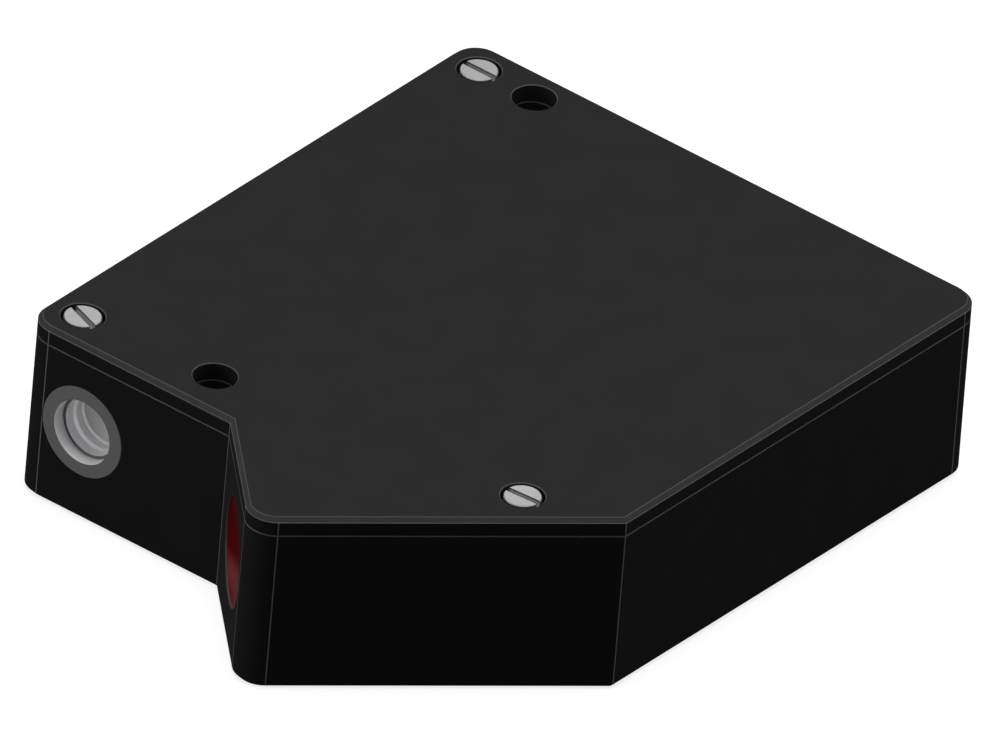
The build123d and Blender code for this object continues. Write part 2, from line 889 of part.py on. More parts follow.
detector_seats = [
    Plane(
        origin=detector_plane.from_local_coords((place[0], place[1], board_face)),
        x_dir=detector_plane.x_dir,
        z_dir=detector_plane.z_dir,
    )
    for place in detector_screw_spots
]
detector_screws = cheese_head_screws(detector_seats, board_thick + bracket_sheet)
detector_screws.label = "detector_screws"

bracket_seat = Plane(
    origin=bracket_pad_plane.from_local_coords(
        (bracket_centre_x, bracket_pad_middle, bracket_pad_height + bracket_sheet)
    ),
    x_dir=detector_plane.x_dir,
    z_dir=up,
)
bracket_screw = cheese_head_screws([bracket_seat], short_screw_length)
bracket_screw.label = "bracket_screw"

# Connector: shell, insert, pins, nut and seal
shell_outer = connector_thread / 2
flange_outer = connector_flange / 2
seal_outer = connector_seal_size / 2
seal_inner = seal_outer - connector_seal_rim
lip_depth = connector_back - connector_lip
with BuildPart() as connector_shell:
    with BuildSketch(connector_plane):
        with BuildLine():
            Polyline(
                (-connector_reach, connector_bore / 2),
                (-connector_reach, shell_outer - edge_bevel),
                (-connector_reach + edge_bevel, shell_outer),
                (-connector_flange_height, shell_outer),
                (-connector_flange_height, flange_outer),
                (0, flange_outer),
                (0, seal_outer),
                (-connector_seal_depth, seal_outer),
                (-connector_seal_depth, seal_inner),
                (0, seal_inner),
                (0, shell_outer),
                (connector_back, shell_outer),
                (connector_back, connector_lip_bore / 2),
                (lip_depth, connector_lip_bore / 2),
                (lip_depth, connector_bore / 2),
                close=True,
            )
        make_face()
    revolve(axis=connector_axis)
connector_shell.part.label = "connector_shell"

with BuildPart() as connector_seal:
    with BuildSketch(connector_plane):
        with Locations((-connector_seal_depth, seal_inner + loose_gap)):
            Rectangle(
                connector_seal_depth,
                connector_seal_rim - 2 * loose_gap,
                align=(Align.MIN, Align.MIN),
            )
    revolve(axis=connector_axis)
connector_seal.part.label = "connector_seal"

pin_plane = Plane(origin=connector_plane.origin, x_dir=(0, 1, 0), z_dir=connector_plane.x_dir)
with BuildPart() as connector_insert:
    with BuildSketch(pin_plane.offset(-insert_face)):
        Circle(connector_bore / 2 - slide_gap)
        with PolarLocations(pin_circle / 2, pin_count, start_angle=45):
            Circle(pin_size / 2 + slide_gap, mode=Mode.SUBTRACT)
        with Locations((0, connector_bore / 2)):
            Rectangle(pin_size, pin_size, mode=Mode.SUBTRACT)
    extrude(amount=insert_face + lip_depth - slide_gap)
connector_insert.part.label = "connector_insert"

with BuildPart() as connector_pins:
    with BuildSketch(pin_plane.offset(-pin_front)):
        with PolarLocations(pin_circle / 2, pin_count, start_angle=45):
            Circle(pin_size / 2)
    extrude(amount=pin_front + lip_depth)
    with BuildSketch(pin_plane.offset(lip_depth)):
        with PolarLocations(pin_circle / 2, pin_count, start_angle=45):
            Circle(pin_tail / 2)
    extrude(amount=connector_board_depth + board_thick + pin_overrun - lip_depth)
    tips = connector_pins.faces().group_by(Axis.X)[0].edges()
    chamfer(tips, pin_bevel)
connector_pins.part.label = "connector_pins"

with BuildPart() as connector_nut:
    with BuildSketch(pin_plane.offset(wall)):
        RegularPolygon(nut_flats / 2, 6, major_radius=False)
        Circle(connector_thread / 2 + thread_gap, mode=Mode.SUBTRACT)
    extrude(amount=nut_height)
connector_nut.part.label = "connector_nut"

link_level = main_board_top + link_bar / 2
link_plan = Vector(main_board_start + link_inset, connector_side)
with BuildPart() as connector_board:
    with BuildSketch(pin_plane.offset(connector_board_depth)):
        Rectangle(connector_board_width, connector_board_height)
        with PolarLocations(pin_circle / 2, pin_count, start_angle=45):
            Circle(pin_tail / 2 + solder_gap, mode=Mode.SUBTRACT)
        with Locations((0, link_level - optics_height)):
            with GridLocations(link_pitch, 1, link_pins, 1):
                Circle(link_hole / 2, mode=Mode.SUBTRACT)
    extrude(amount=board_thick)
connector_board.part.label = "connector_board"

# Angled pin header between the connector board and the main board
with BuildPart() as board_link:
    with BuildSketch(level(main_board_top)):
        with Locations(link_plan):
            Rectangle(link_bar, link_pins * link_pitch)
    extrude(amount=link_bar)
    link_reach = link_plan.X - connector_board_depth + link_tail
    with BuildSketch(level(link_level - link_pin_size / 2)):
        with Locations(link_plan):
            with GridLocations(1, link_pitch, 1, link_pins):
                Rectangle(link_reach, link_pin_size, align=(Align.MAX, Align.CENTER))
    extrude(amount=link_pin_size)
    with BuildSketch(level(main_board_top)):
        with Locations(link_plan):
            with GridLocations(1, link_pitch, 1, link_pins):
                Rectangle(link_pin_size, link_pin_size)
    extrude(amount=-main_board_thick - link_tail)
board_link.part.label = "board_link"

# Main board on its standoffs
with BuildPart() as main_board:
    with BuildSketch(level(main_board_level)):
        with Locations(main_board_middle):
            RectangleRounded(main_board_length, main_board_width, edge_bevel)
            with GridLocations(standoff_spread_x, standoff_spread_y, 2, 2):
                Circle(screw_size / 2 + loose_gap, mode=Mode.SUBTRACT)
        with Locations(link_plan):
            with GridLocations(1, link_pitch, 1, link_pins):
                Circle(link_hole / 2, mode=Mode.SUBTRACT)
    extrude(amount=main_board_thick)
main_board.part.label = "main_board"

board_seats = [
    Plane(origin=spot(main_board_middle + Vector(x, y), main_board_top))
    for x in (-standoff_spread_x / 2, standoff_spread_x / 2)
    for y in (-standoff_spread_y / 2, standoff_spread_y / 2)
]
board_screws = cheese_head_screws(board_seats, board_screw_length)
board_screws.label = "board_screws"

processor_spot = main_board_middle + Vector(0, processor_ahead)
with BuildPart() as signal_processor:
    with BuildSketch(level(main_board_top + processor_lift)):
        with Locations(processor_spot):
            Rectangle(processor_size, processor_size)
    extrude(amount=processor_height)
    with BuildSketch(level(main_board_top)):
        lead_run = processor_size + 2 * lead_reach
        with Locations(processor_spot):
            with GridLocations(processor_pitch, 1, processor_leads, 1):
                Rectangle(lead_width, lead_run)
            with GridLocations(1, processor_pitch, 1, processor_leads):
                Rectangle(lead_run, lead_width)
            Rectangle(processor_size - lead_reach, processor_size - lead_reach, mode=Mode.SUBTRACT)
    extrude(amount=lead_thick)
signal_processor.part.label = "signal_processor"

regulator_spot = main_board_middle - Vector(0, regulator_behind)
with BuildPart() as voltage_regulator:
    with BuildSketch(level(main_board_top)):
        with Locations(regulator_spot):
            Rectangle(regulator_width, regulator_depth)
    extrude(amount=regulator_height)
    with BuildSketch(level(main_board_top)):
        with Locations(regulator_spot):
            Rectangle(regulator_width / 2, regulator_depth + 2 * lead_reach)
    extrude(amount=lead_thick)
voltage_regulator.part.label = "voltage_regulator"

capacitor_spot = main_board_middle - Vector(0, capacitor_behind)
with BuildPart() as capacitors:
    with BuildSketch(level(main_board_top)):
        with Locations(capacitor_spot):
            with GridLocations(capacitor_pitch, 1, capacitor_count, 1):
                RectangleRounded(capacitor_size, capacitor_size, capacitor_corner)
    extrude(amount=capacitor_base)
    with BuildSketch(level(main_board_top + capacitor_base)):
        with Locations(capacitor_spot):
            with GridLocations(capacitor_pitch, 1, capacitor_count, 1):
                Circle(capacitor_size / 2 - loose_gap)
    extrude(amount=capacitor_height - capacitor_base)
capacitors.part.label = "capacitors"

crystal_spot = main_board_middle + Vector(0, crystal_ahead)
with BuildPart() as crystal:
    with BuildSketch(level(main_board_top)):
        with Locations(crystal_spot):
            SlotOverall(crystal_length, crystal_width)
    extrude(amount=crystal_height)
    chamfer(crystal.faces().sort_by(Axis.Z)[-1].edges(), edge_bevel)
crystal.part.label = "crystal"

# Flexible circuits and their sockets at the main board's front edge
laser_socket = Vector(main_board_end - socket_depth, laser_side)
detector_tail = Vector(-detector_plane.z_dir.X, -detector_plane.z_dir.Y)
flex_shift = detector_board_shift + flex_width / 2
flex_root = detector_plane.from_local_coords((-flex_shift, 0, bracket_face))
flex_root_plan = Vector(flex_root.X - base_corner.X, flex_root.Y - base_corner.Y)
detector_run = (main_board_end - socket_depth - flex_root_plan.X) / detector_tail.X
detector_socket = flex_root_plan + detector_tail * detector_run
flex_mouth = main_board_top + socket_height / 2
socket_planes = [
    Plane(origin=spot(laser_socket, main_board_top), x_dir=(-1, 0, 0), z_dir=up),
    Plane(origin=spot(detector_socket, main_board_top), x_dir=detector_tail, z_dir=up),
]
with BuildPart() as flex_sockets:
    for socket_plane in socket_planes:
        with BuildSketch(socket_plane):
            Rectangle(socket_depth, socket_width)
        extrude(amount=socket_height)
        with BuildSketch(socket_plane.offset(socket_height / 2 - flex_thick)):
            with Locations((-socket_depth / 2, 0)):
                Rectangle(socket_depth, flex_width + 2 * loose_gap)
        extrude(amount=2 * flex_thick, mode=Mode.SUBTRACT)
flex_sockets.part.label = "flex_sockets"

laser_flex_plane = Plane(origin=spot(Vector(0, laser_side), 0), z_dir=(0, -1, 0), x_dir=(1, 0, 0))
driver_back = body_length - barrel_length - driver_gap - board_thin - flex_thick / 2
driver_top = optics_height + driver_height / 2
flex_drop = optics_height + (lead_circle + lead_size) / 2 + flex_bend
laser_flex = ribbon(
    laser_flex_plane,
    [
        (driver_back, driver_top),
        (driver_back, flex_drop),
        (main_board_end, flex_drop),
        (laser_socket.X + socket_depth / 2 + flex_bend, flex_mouth),
        (laser_socket.X, flex_mouth),
    ],
    [flex_bend, flex_bend, flex_bend],
    flex_width,
)
laser_flex.label = "laser_flex"

detector_flex_plane = Plane(
    origin=spot(flex_root_plan, 0),
    x_dir=detector_tail,
    z_dir=detector_tail.cross(up),
)
flex_start = bracket_top + flex_thick
flex_crest = optics_height + detector_board_height / 2 - flex_thick
crest_end = detector_run / 3
slope_end = detector_run * 0.6
detector_flex = ribbon(
    detector_flex_plane,
    [
        (flex_thick / 2, flex_start),
        (flex_thick / 2, flex_crest),
        (crest_end, flex_crest),
        (slope_end, flex_mouth),
        (detector_run, flex_mouth),
    ],
    [flex_bend, flex_sweep, flex_sweep],
    flex_width,
)
detector_flex.label = "detector_flex"

pieces = [
    housing.part,
    cover.part,
    cover_seal.part,
    cover_screws,
    laser_barrel.part,
    barrel_seal.part,
    barrel_set_screw.part,
    lens_ring.part,
    collimator_lens.part,
    laser_diode.part,
    diode_retainer.part,
    laser_driver_board.part,
    laser_flex,
    receiver_window.part,
    window_seal.part,
    receiver_barrel.part,
    imaging_lens.part,
    imaging_lens_ring.part,
    stray_light_stop.part,
    receiver_clamp.part,
    clamp_screw,
    detector.part,
    detector_board.part,
    detector_bracket.part,
    detector_screws,
    bracket_screw,
    detector_flex,
    main_board.part,
    board_screws,
    signal_processor.part,
    voltage_regulator.part,
    capacitors.part,
    crystal.part,
    flex_sockets.part,
    connector_shell.part,
    connector_insert.part,
    connector_pins.part,
    connector_nut.part,
    connector_seal.part,
    connector_board.part,
    board_link.part,
]

os.makedirs("parts", exist_ok=True)
for piece in pieces:
    export_step(piece, f"parts/{piece.label}.step")
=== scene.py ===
import math

import bpy
import numpy as np
from bpy.props import FloatProperty, FloatVectorProperty, IntProperty, PointerProperty
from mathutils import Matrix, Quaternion, Vector


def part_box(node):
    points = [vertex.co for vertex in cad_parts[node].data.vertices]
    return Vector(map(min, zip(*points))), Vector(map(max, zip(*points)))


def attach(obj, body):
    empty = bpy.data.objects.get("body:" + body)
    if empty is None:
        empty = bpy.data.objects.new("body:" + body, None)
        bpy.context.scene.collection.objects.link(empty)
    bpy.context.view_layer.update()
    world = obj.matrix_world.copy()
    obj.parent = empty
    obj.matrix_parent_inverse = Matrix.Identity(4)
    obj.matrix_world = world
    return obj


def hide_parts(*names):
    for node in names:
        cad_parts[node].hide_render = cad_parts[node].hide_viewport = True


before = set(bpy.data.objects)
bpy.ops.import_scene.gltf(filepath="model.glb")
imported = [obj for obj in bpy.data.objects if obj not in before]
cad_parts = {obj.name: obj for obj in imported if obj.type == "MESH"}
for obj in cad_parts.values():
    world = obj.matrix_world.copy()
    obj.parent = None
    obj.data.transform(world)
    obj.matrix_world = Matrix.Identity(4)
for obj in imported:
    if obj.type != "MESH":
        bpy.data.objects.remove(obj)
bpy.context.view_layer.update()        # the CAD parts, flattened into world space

bl_info = {
    "name": "Laser Displacement Sensor",
    "version": (1, 0, 0),
    "blender": (4, 5, 0),
    "location": "3D View > Sidebar > Sensor",
    "description": "Finishes the sensor's case, optics, fasteners, boards and connector, and sets the stage",
    "category": "Object",
}

RIM_OFFSET = 0.00006        # from the window's edge to the middle of the bevel on its recess
BASE_BEVEL = 0.0005         # bevel round the base
SAME_LEVEL = 0.00001        # heights this close are the same
SLOT_LINE = 0.00009         # width of the painted shade line along a slot's edge
BARREL_SHADE_RADIUS = 0.0046        # radius beyond which the laser barrel has painted shade in grey
LENS_LIP = 0.00298          # radius of the lens ring's inner bevel, within which the metal has painted shade
HIGHLIGHT_DROP = 0.0041          # from the window's middle down to its painted highlight
HIGHLIGHT_REACH = 0.0019         # how far the painted highlight spreads up and down
BODY = "root"


def middle(node):
    """The middle of a node's box."""
    low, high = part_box(node)
    return (low + high) / 2


# Places worked out from the CAD parts
laser_middle = middle("laser_barrel")
shell_low, shell_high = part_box("connector_shell")
shell_middle = middle("connector_shell")
case_low, case_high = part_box("housing")
cover_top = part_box("cover")[1].z
window_middle = middle("receiver_window")
rim_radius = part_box("receiver_window")[1].z - window_middle.z + RIM_OFFSET
receiver_axis = (window_middle - middle("receiver_barrel")).normalized()


def level_edges(node, height, shortest):
    """A node's long straight edges at one height where an upright or leaning face ends: the plan
    places of both ends of each, each edge once."""
    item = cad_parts[node]
    places = [item.matrix_world @ corner.co for corner in item.data.vertices]
    found = set()
    for face in item.data.polygons:
        if abs(face.normal.z) > 0.9:
            continue
        ends = [places[i] for i in face.vertices]
        for first, second in zip(ends, ends[1:] + ends[:1]):
            level = abs(first.z - height) < SAME_LEVEL and abs(second.z - height) < SAME_LEVEL
            if level and (first - second).length > shortest:
                found.add(tuple(sorted((round(end.x, 5), round(end.y, 5)) for end in (first, second))))
    return sorted(found)


# The corners of the case's walls, read along the upper side of its bevel at the base
wall_edges = level_edges("housing", case_low.z + BASE_BEVEL, 0.004)
wall_corners = sorted({end for edge in wall_edges for end in edge})

# The upper edges of the slots in the heads of the cover's screws
head_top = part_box("cover_screws")[1].z
slot_edges = level_edges("cover_screws", head_top, 0.003)


def colour(label, description, default):
    """A colour that a user may change."""
    return FloatVectorProperty(
        name=label,
        description=description,
        subtype="COLOR",
        size=4,
        min=0.0,
        max=1.0,
        default=(*default, 1.0),
    )


def length(label, description, default):
    """A length that a user may change, in metres."""
    return FloatProperty(name=label, description=description, unit="LENGTH", default=default, precision=5)


class SensorFinishes(bpy.types.PropertyGroup):
    anodised: colour("Anodised", "Black anodised aluminium of the case", (0.019, 0.019, 0.0194))
    # painted highlight on the case's bevels, shown as rubbed anodising
    rubbed: colour("Rubbed edge", "Anodised aluminium where a bevel is rubbed", (0.035, 0.035, 0.0355))
    # painted highlight lines along the bevels' two sides and round the window's rim
    arris: colour("Arris", "Anodised aluminium along a sharp arris", (0.078, 0.078, 0.0785))
    # painted highlight along the joint, shown as bare metal
    worn_highlight: colour("Worn edge highlight", "Painted highlight with bare metal along the joint under the cover", (0.15, 0.15, 0.151))
    # painted highlight down the corners of the walls, shown as bare metal
    corner: colour("Corner", "Painted highlight with bare metal on the corners of the walls", (0.2, 0.2, 0.201))
    # painted shade on the barrel's faces square to its axis and beyond its face radius
    face_painted_shade: colour("Barrel face", "Painted shade on the face of the laser barrel", (0.0635, 0.0635, 0.0635))
    turned: colour("Turned metal", "Bare turned aluminium", (0.86, 0.86, 0.87))
    steel: colour("Screw steel", "Stainless steel of the screws", (0.33, 0.33, 0.34))
    # painted light on the screws' sides and slots, which lie in shade
    side_steel_painted_light: colour("Side steel", "Steel with painted light on the sides of the screws and in their slots", (0.46, 0.46, 0.46))
    # painted shade on the screws' bevels
    rim_painted_shade: colour("Rim steel", "Painted shade on the steel of the screws' bevels", (0.2, 0.2, 0.2))
    # painted shade along the edges of the screws' slots
    slot_edge_painted_shade: colour("Slot steel", "Painted shade along the edges of the slots", (0.04, 0.04, 0.04))
    black_metal: colour("Black metal", "Blackened metal of the receiver's inner pieces", (0.02, 0.02, 0.02))
    window_red: colour("Window", "Red filter of the receiver", (0.125, 0.0045, 0.004))
    # painted highlight in a band near the window's lower rim
    window_painted_highlight: colour("Window's highlight", "Painted highlight on the red filter's dish", (0.19, 0.036, 0.036))
    lens_tint: colour("Lens", "Glass of the laser lens", (0.58, 0.58, 0.59))
    rubber: colour("Rubber", "Seals", (0.012, 0.012, 0.012))
    nickel: colour("Nickel", "Nickel plated brass of the connector", (0.62, 0.60, 0.56))
    gold: colour("Gold", "Gold plated contacts", (0.83, 0.61, 0.27))
    insert: colour("Insert", "Moulded black plastic of the connector", (0.014, 0.014, 0.015))
    solder_mask: colour("Solder mask", "Green face of the circuit boards", (0.012, 0.11, 0.045))
    package: colour("Package", "Moulded black of the chips", (0.018, 0.018, 0.02))
    film: colour("Film", "Amber film of the flexible circuits", (0.42, 0.16, 0.02))
    socket: colour("Socket", "Pale moulding of the small sockets", (0.62, 0.60, 0.52))


class SensorThread(bpy.types.PropertyGroup):
    pitch: length("Pitch", "Pitch of the connector's thread", 0.001)
    depth: length("Depth", "Depth of the thread", 0.00058)
    outer_radius: length("Thread radius", "Outer radius of the thread", 0.004)
    bore_radius: length("Bore radius", "Radius of the socket's bore", 0.0032)
    lip_radius: length("Lip radius", "Radius of the lip that holds the insert", 0.0027)
    lip: length("Lip", "Thickness of that lip", 0.0007)
    bevel: length("Bevel", "Bevel on the shell's mouth", 0.0005)
    flange: length("Flange", "Thickness of the flange", 0.0014)
    flange_break: length("Flange edge", "Bevel on the flange's rim", 0.00015)
    seal_outer: length("Seal groove", "Outer radius of the seal's groove", 0.0052)
    seal_inner: length("Seal groove inside", "Inner radius of the seal's groove", 0.0043)
    seal_depth: length("Seal groove depth", "Depth of the seal's groove", 0.0008)
    steps_round: IntProperty(name="Steps round", description="Steps round the axis", default=128, min=24)
    steps_per_turn: IntProperty(name="Steps a turn", description="Steps along one pitch", default=18, min=6)


class SensorStage(bpy.types.PropertyGroup):
    floor_colour: colour("Floor", "Pale floor", (0.27, 0.27, 0.27))
    glow: FloatProperty(name="Glow", description="The floor's own light, as the camera sees it", default=0.8)
    bounce_colour: colour("Bounce", "Light that the floor sends back up", (0.015, 0.015, 0.015))
    floor_size: length("Floor size", "Side of the floor", 12.0)
    azimuth: FloatProperty(name="Azimuth", description="View's turn about the vertical, in degrees", default=126.422)
    elevation: FloatProperty(name="Elevation", description="View's height in degrees", default=33.332)
    roll: FloatProperty(name="Roll", description="Turn of the picture in degrees", default=4.817)
    distance: length("Distance", "Camera to the middle of the picture", 0.6)
    span: length("Span", "Width of the picture at the sensor, as the photograph has no perspective", 0.097792)
    key: FloatProperty(name="Key light", description="Radiance of the soft light overhead", default=14.9)
    front: FloatProperty(name="Front light", description="Radiance of the light on the laser's side", default=1.58)
    rear: FloatProperty(name="Rear light", description="Radiance of the light on the far side", default=1.03)
    sky: FloatProperty(name="Sky", description="Strength of the surroundings on dull surfaces", default=0.005)


aim_point = Vector((0.004043, 0.019229, 0.015382))      # the middle of the picture
along_x = (0.0, math.radians(-90), 0.0)                 # turns an axis along X to Z


def finishes():
    """The finishes that the panel holds."""
    return bpy.context.scene.sensor_finishes


def tone_of(base, share):
    """A colour with its red, green and blue times a share."""
    return (*(share * part for part in base[:3]), 1.0)


# Shader helpers


def fill(tree, made, inputs):
    """Fills a node's inputs, by name or number, with values or with links from sockets."""
    for name, value in inputs.items():
        if isinstance(value, bpy.types.NodeSocket):
            tree.links.new(value, made.inputs[name])
        else:
            made.inputs[name].default_value = value
    return made


def put(tree, kind, inputs=None, **choices):
    """Adds a node, makes its choices and fills its inputs."""
    made = tree.nodes.new(kind)
    for name, value in choices.items():
        setattr(made, name, value)
    return fill(tree, made, inputs or {})


def reckon(tree, operation, first, second=0.0, third=0.0):
    """One math node's value."""
    return put(tree, "ShaderNodeMath", {0: first, 1: second, 2: third}, operation=operation).outputs[0]


def spread(tree, value, low, high):
    """A value from 0 to 1 carried to the span from low to high."""
    return put(tree, "ShaderNodeMapRange", {"Value": value, "To Min": low, "To Max": high}).outputs["Result"]


def blend(tree, factor, first, second):
    """Two colours mixed by a factor."""
    return put(tree, "ShaderNodeMix", {0: factor, 6: first, 7: second}, data_type="RGBA").outputs[2]


def effect(name, inputs, outputs):
    """An empty node group with named sockets: the tree, its inputs and its output node."""
    tree = bpy.data.node_groups.new(name, "ShaderNodeTree")
    for label, kind, default in inputs:
        socket = tree.interface.new_socket(name=label, in_out="INPUT", socket_type=kind)
        if default is not None:
            socket.default_value = default
    for label, kind in outputs:
        tree.interface.new_socket(name=label, in_out="OUTPUT", socket_type=kind)
    return tree, tree.nodes.new("NodeGroupInput").outputs, tree.nodes.new("NodeGroupOutput").inputs


def once(name, build):
    """A node group that is built at its first use."""
    return bpy.data.node_groups.get(name) or build(name)


def build_grain(name):
    """Fine grain of a blasted or moulded surface: two sizes of noise added together. Tone has the
    larger, softer patches of the same surface."""
    tree, given, out = effect(
        name,
        [("Vector", "NodeSocketVector", None), ("Size", "NodeSocketFloat", 6000.0)],
        [("Height", "NodeSocketFloat"), ("Tone", "NodeSocketFloat")],
    )
    patch_scale = reckon(tree, "MULTIPLY", given["Size"], 0.04)
    fine = put(tree, "ShaderNodeTexNoise", {"Vector": given["Vector"], "Scale": given["Size"], "Detail": 3.0})
    patch = put(tree, "ShaderNodeTexNoise", {"Vector": given["Vector"], "Scale": patch_scale, "Detail": 5.0})
    tree.links.new(fine.outputs["Fac"], out["Height"])
    tree.links.new(patch.outputs["Fac"], out["Tone"])
    return tree


def build_edges(name):
    """Rubbed edges with painted highlights: faces that lean by about 45 degrees at the top, the base or
    the joint are bevels, so they take the edge colour, a painted highlight with rubbed anodising, broken
    up by noise. Thin painted highlight lines run along the bevel's two sides, the rim of the window, the
    corners of the walls and the joint."""
    tree, given, out = effect(
        name,
        [
            ("Vector", "NodeSocketVector", None),
            ("Colour", "NodeSocketColor", (0.0, 0.0, 0.0, 1.0)),
            ("Edge Colour", "NodeSocketColor", (1.0, 1.0, 1.0, 1.0)),
            ("Line Colour", "NodeSocketColor", (1.0, 1.0, 1.0, 1.0)),
            ("Corner Highlight Colour", "NodeSocketColor", (1.0, 1.0, 1.0, 1.0)),
            ("Worn Highlight Colour", "NodeSocketColor", (1.0, 1.0, 1.0, 1.0)),
            ("Base", "NodeSocketFloat", 0.0),
            ("Joint", "NodeSocketFloat", 0.0),
            ("Top", "NodeSocketFloat", 0.0),
            ("Bevel", "NodeSocketFloat", 0.0005),
            ("Edge Break", "NodeSocketFloat", 0.00009),
            ("Line", "NodeSocketFloat", 0.00006),
        ],
        [("Colour", "NodeSocketColor")],
    )
    normal = put(tree, "ShaderNodeNewGeometry").outputs["True Normal"]
    lean = reckon(tree, "ABSOLUTE", put(tree, "ShaderNodeSeparateXYZ", {0: normal}).outputs["Z"])
    bevel = reckon(tree, "COMPARE", lean, math.sqrt(0.5), 0.1)
    height = put(tree, "ShaderNodeSeparateXYZ", {0: given["Vector"]}).outputs["Z"]
    reach = reckon(tree, "ADD", given["Bevel"], given["Line"])
    at_base = reckon(tree, "COMPARE", height, given["Base"], reach)
    at_joint = reckon(tree, "COMPARE", height, given["Joint"], given["Edge Break"])
    at_top = reckon(tree, "COMPARE", height, given["Top"], reach)
    near = reckon(tree, "MAXIMUM", reckon(tree, "MAXIMUM", at_base, at_joint), at_top)
    scuff = put(tree, "ShaderNodeTexNoise", {"Vector": given["Vector"], "Scale": 420.0, "Detail": 6.0})
    mask = reckon(tree, "MULTIPLY", bevel, spread(tree, scuff.outputs["Fac"], 0.55, 1.2))
    mask = put(tree, "ShaderNodeClamp", {"Value": reckon(tree, "MULTIPLY", mask, near)}).outputs[0]
    # painted highlight on the bevels, with rubbed anodising
    rubbed = blend(tree, mask, given["Colour"], given["Edge Colour"])
    # painted highlight lines along the bevel's two sides and round the window's rim
    outer = reckon(tree, "COMPARE", height, reckon(tree, "SUBTRACT", given["Top"], given["Bevel"]), given["Line"])
    inner = reckon(tree, "COMPARE", height, given["Top"], given["Line"])
    lines = reckon(tree, "MULTIPLY", reckon(tree, "MAXIMUM", outer, inner), bevel)
    from_window = put(tree, "ShaderNodeVectorMath", {0: given["Vector"], 1: window_middle}, operation="SUBTRACT")
    across = put(
        tree, "ShaderNodeVectorMath", {0: from_window.outputs[0], 1: receiver_axis}, operation="CROSS_PRODUCT"
    )
    from_axis = put(tree, "ShaderNodeVectorMath", {0: across.outputs[0]}, operation="LENGTH").outputs["Value"]
    near_window = put(tree, "ShaderNodeVectorMath", {0: from_window.outputs[0]}, operation="LENGTH")
    rim = reckon(tree, "COMPARE", from_axis, rim_radius, given["Line"])
    rim = reckon(tree, "MULTIPLY", rim, reckon(tree, "LESS_THAN", near_window.outputs["Value"], 1.1 * rim_radius))
    lines = reckon(tree, "MAXIMUM", lines, rim)
    # painted highlight lines down the corners of the walls
    corners = 0.0
    for x, y in wall_corners:
        there = put(tree, "ShaderNodeCombineXYZ", {"X": x, "Y": y, "Z": height}).outputs[0]
        away = put(tree, "ShaderNodeVectorMath", {0: given["Vector"], 1: there}, operation="DISTANCE")
        corner = reckon(tree, "LESS_THAN", away.outputs["Value"], given["Line"])
        corners = reckon(tree, "MAXIMUM", corners, corner)
    lined = blend(tree, lines, rubbed, given["Line Colour"])
    lined = blend(tree, corners, lined, given["Corner Highlight Colour"])
    # painted highlight along the joint, shown as bare metal
    tree.links.new(blend(tree, at_joint, lined, given["Worn Highlight Colour"]), out["Colour"])
    return tree


def build_lathe(name):
    """Turning marks: noise read along the distance from the Z axis of the given coordinates, so
    that it makes rings round that axis."""
    tree, given, out = effect(
        name,
        [("Vector", "NodeSocketVector", None), ("Pitch", "NodeSocketFloat", 9000.0)],
        [("Height", "NodeSocketFloat"), ("Radius", "NodeSocketFloat")],
    )
    place = put(tree, "ShaderNodeSeparateXYZ", {0: given["Vector"]}).outputs
    across = reckon(tree, "ADD", reckon(tree, "POWER", place["X"], 2.0), reckon(tree, "POWER", place["Y"], 2.0))
    radius = reckon(tree, "SQRT", across)
    along = put(tree, "ShaderNodeCombineXYZ", {"X": radius, "Y": place["Z"]}).outputs[0]
    rings = put(tree, "ShaderNodeTexNoise", {"Vector": along, "Scale": given["Pitch"], "Detail": 2.0})
    tree.links.new(rings.outputs["Fac"], out["Height"])
    tree.links.new(radius, out["Radius"])
    return tree


def build_tracks(name):
    """Copper tracks under solder mask: a brick pattern turned by 45 degrees gives the tracks, and
    rounded cells give the pads. The mask is 1 on copper."""
    tree, given, out = effect(
        name,
        [("Vector", "NodeSocketVector", None)],
        [("Mask", "NodeSocketFloat"), ("Height", "NodeSocketFloat")],
    )
    turned = put(tree, "ShaderNodeMapping", {"Vector": given["Vector"], "Rotation": (0.0, 0.0, math.radians(45))})
    tracks = put(
        tree,
        "ShaderNodeTexBrick",
        {
            "Vector": turned.outputs[0],
            "Color1": (0, 0, 0, 1),
            "Color2": (0, 0, 0, 1),
            "Mortar": (1, 1, 1, 1),
            "Scale": 450.0,
            "Mortar Size": 0.05,
        },
    )
    pads = put(tree, "ShaderNodeTexVoronoi", {"Vector": given["Vector"], "Scale": 500.0, "Randomness": 0.4})
    pad = reckon(tree, "LESS_THAN", pads.outputs["Distance"], 0.16)
    copper = reckon(tree, "MAXIMUM", put(tree, "ShaderNodeRGBToBW", {0: tracks.outputs["Color"]}).outputs[0], pad)
    tree.links.new(copper, out["Mask"])
    tree.links.new(copper, out["Height"])
    return tree


def use(tree, name, build, inputs):
    """Places an effect in a material."""
    made = tree.nodes.new("ShaderNodeGroup")
    made.node_tree = once(name, build)
    return fill(tree, made, inputs).outputs


def start_material(name, **constants):
    """A material with one Principled shader whose named sockets are set: its tree, its shader and
    the Object coordinates."""
    material = bpy.data.materials.new(name)
    material.use_nodes = True
    tree = material.node_tree
    shader = next(node for node in tree.nodes if node.type == "BSDF_PRINCIPLED")
    for label, value in constants.items():
        shader.inputs[label.replace("_", " ")].default_value = value
    coordinates = put(tree, "ShaderNodeTexCoord").outputs["Object"]
    return material, tree, shader.inputs, coordinates


def roughen(tree, sockets, height, depth, strength=1.0):
    """Gives the shader a bump of the given depth in metres."""
    bump = put(tree, "ShaderNodeBump", {"Height": height, "Distance": depth, "Strength": strength})
    tree.links.new(bump.outputs[0], sockets["Normal"])


def dress(material, *nodes):
    """Gives CAD nodes this material."""
    for name in nodes:
        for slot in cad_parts[name].material_slots:
            slot.material = material


# Finishes


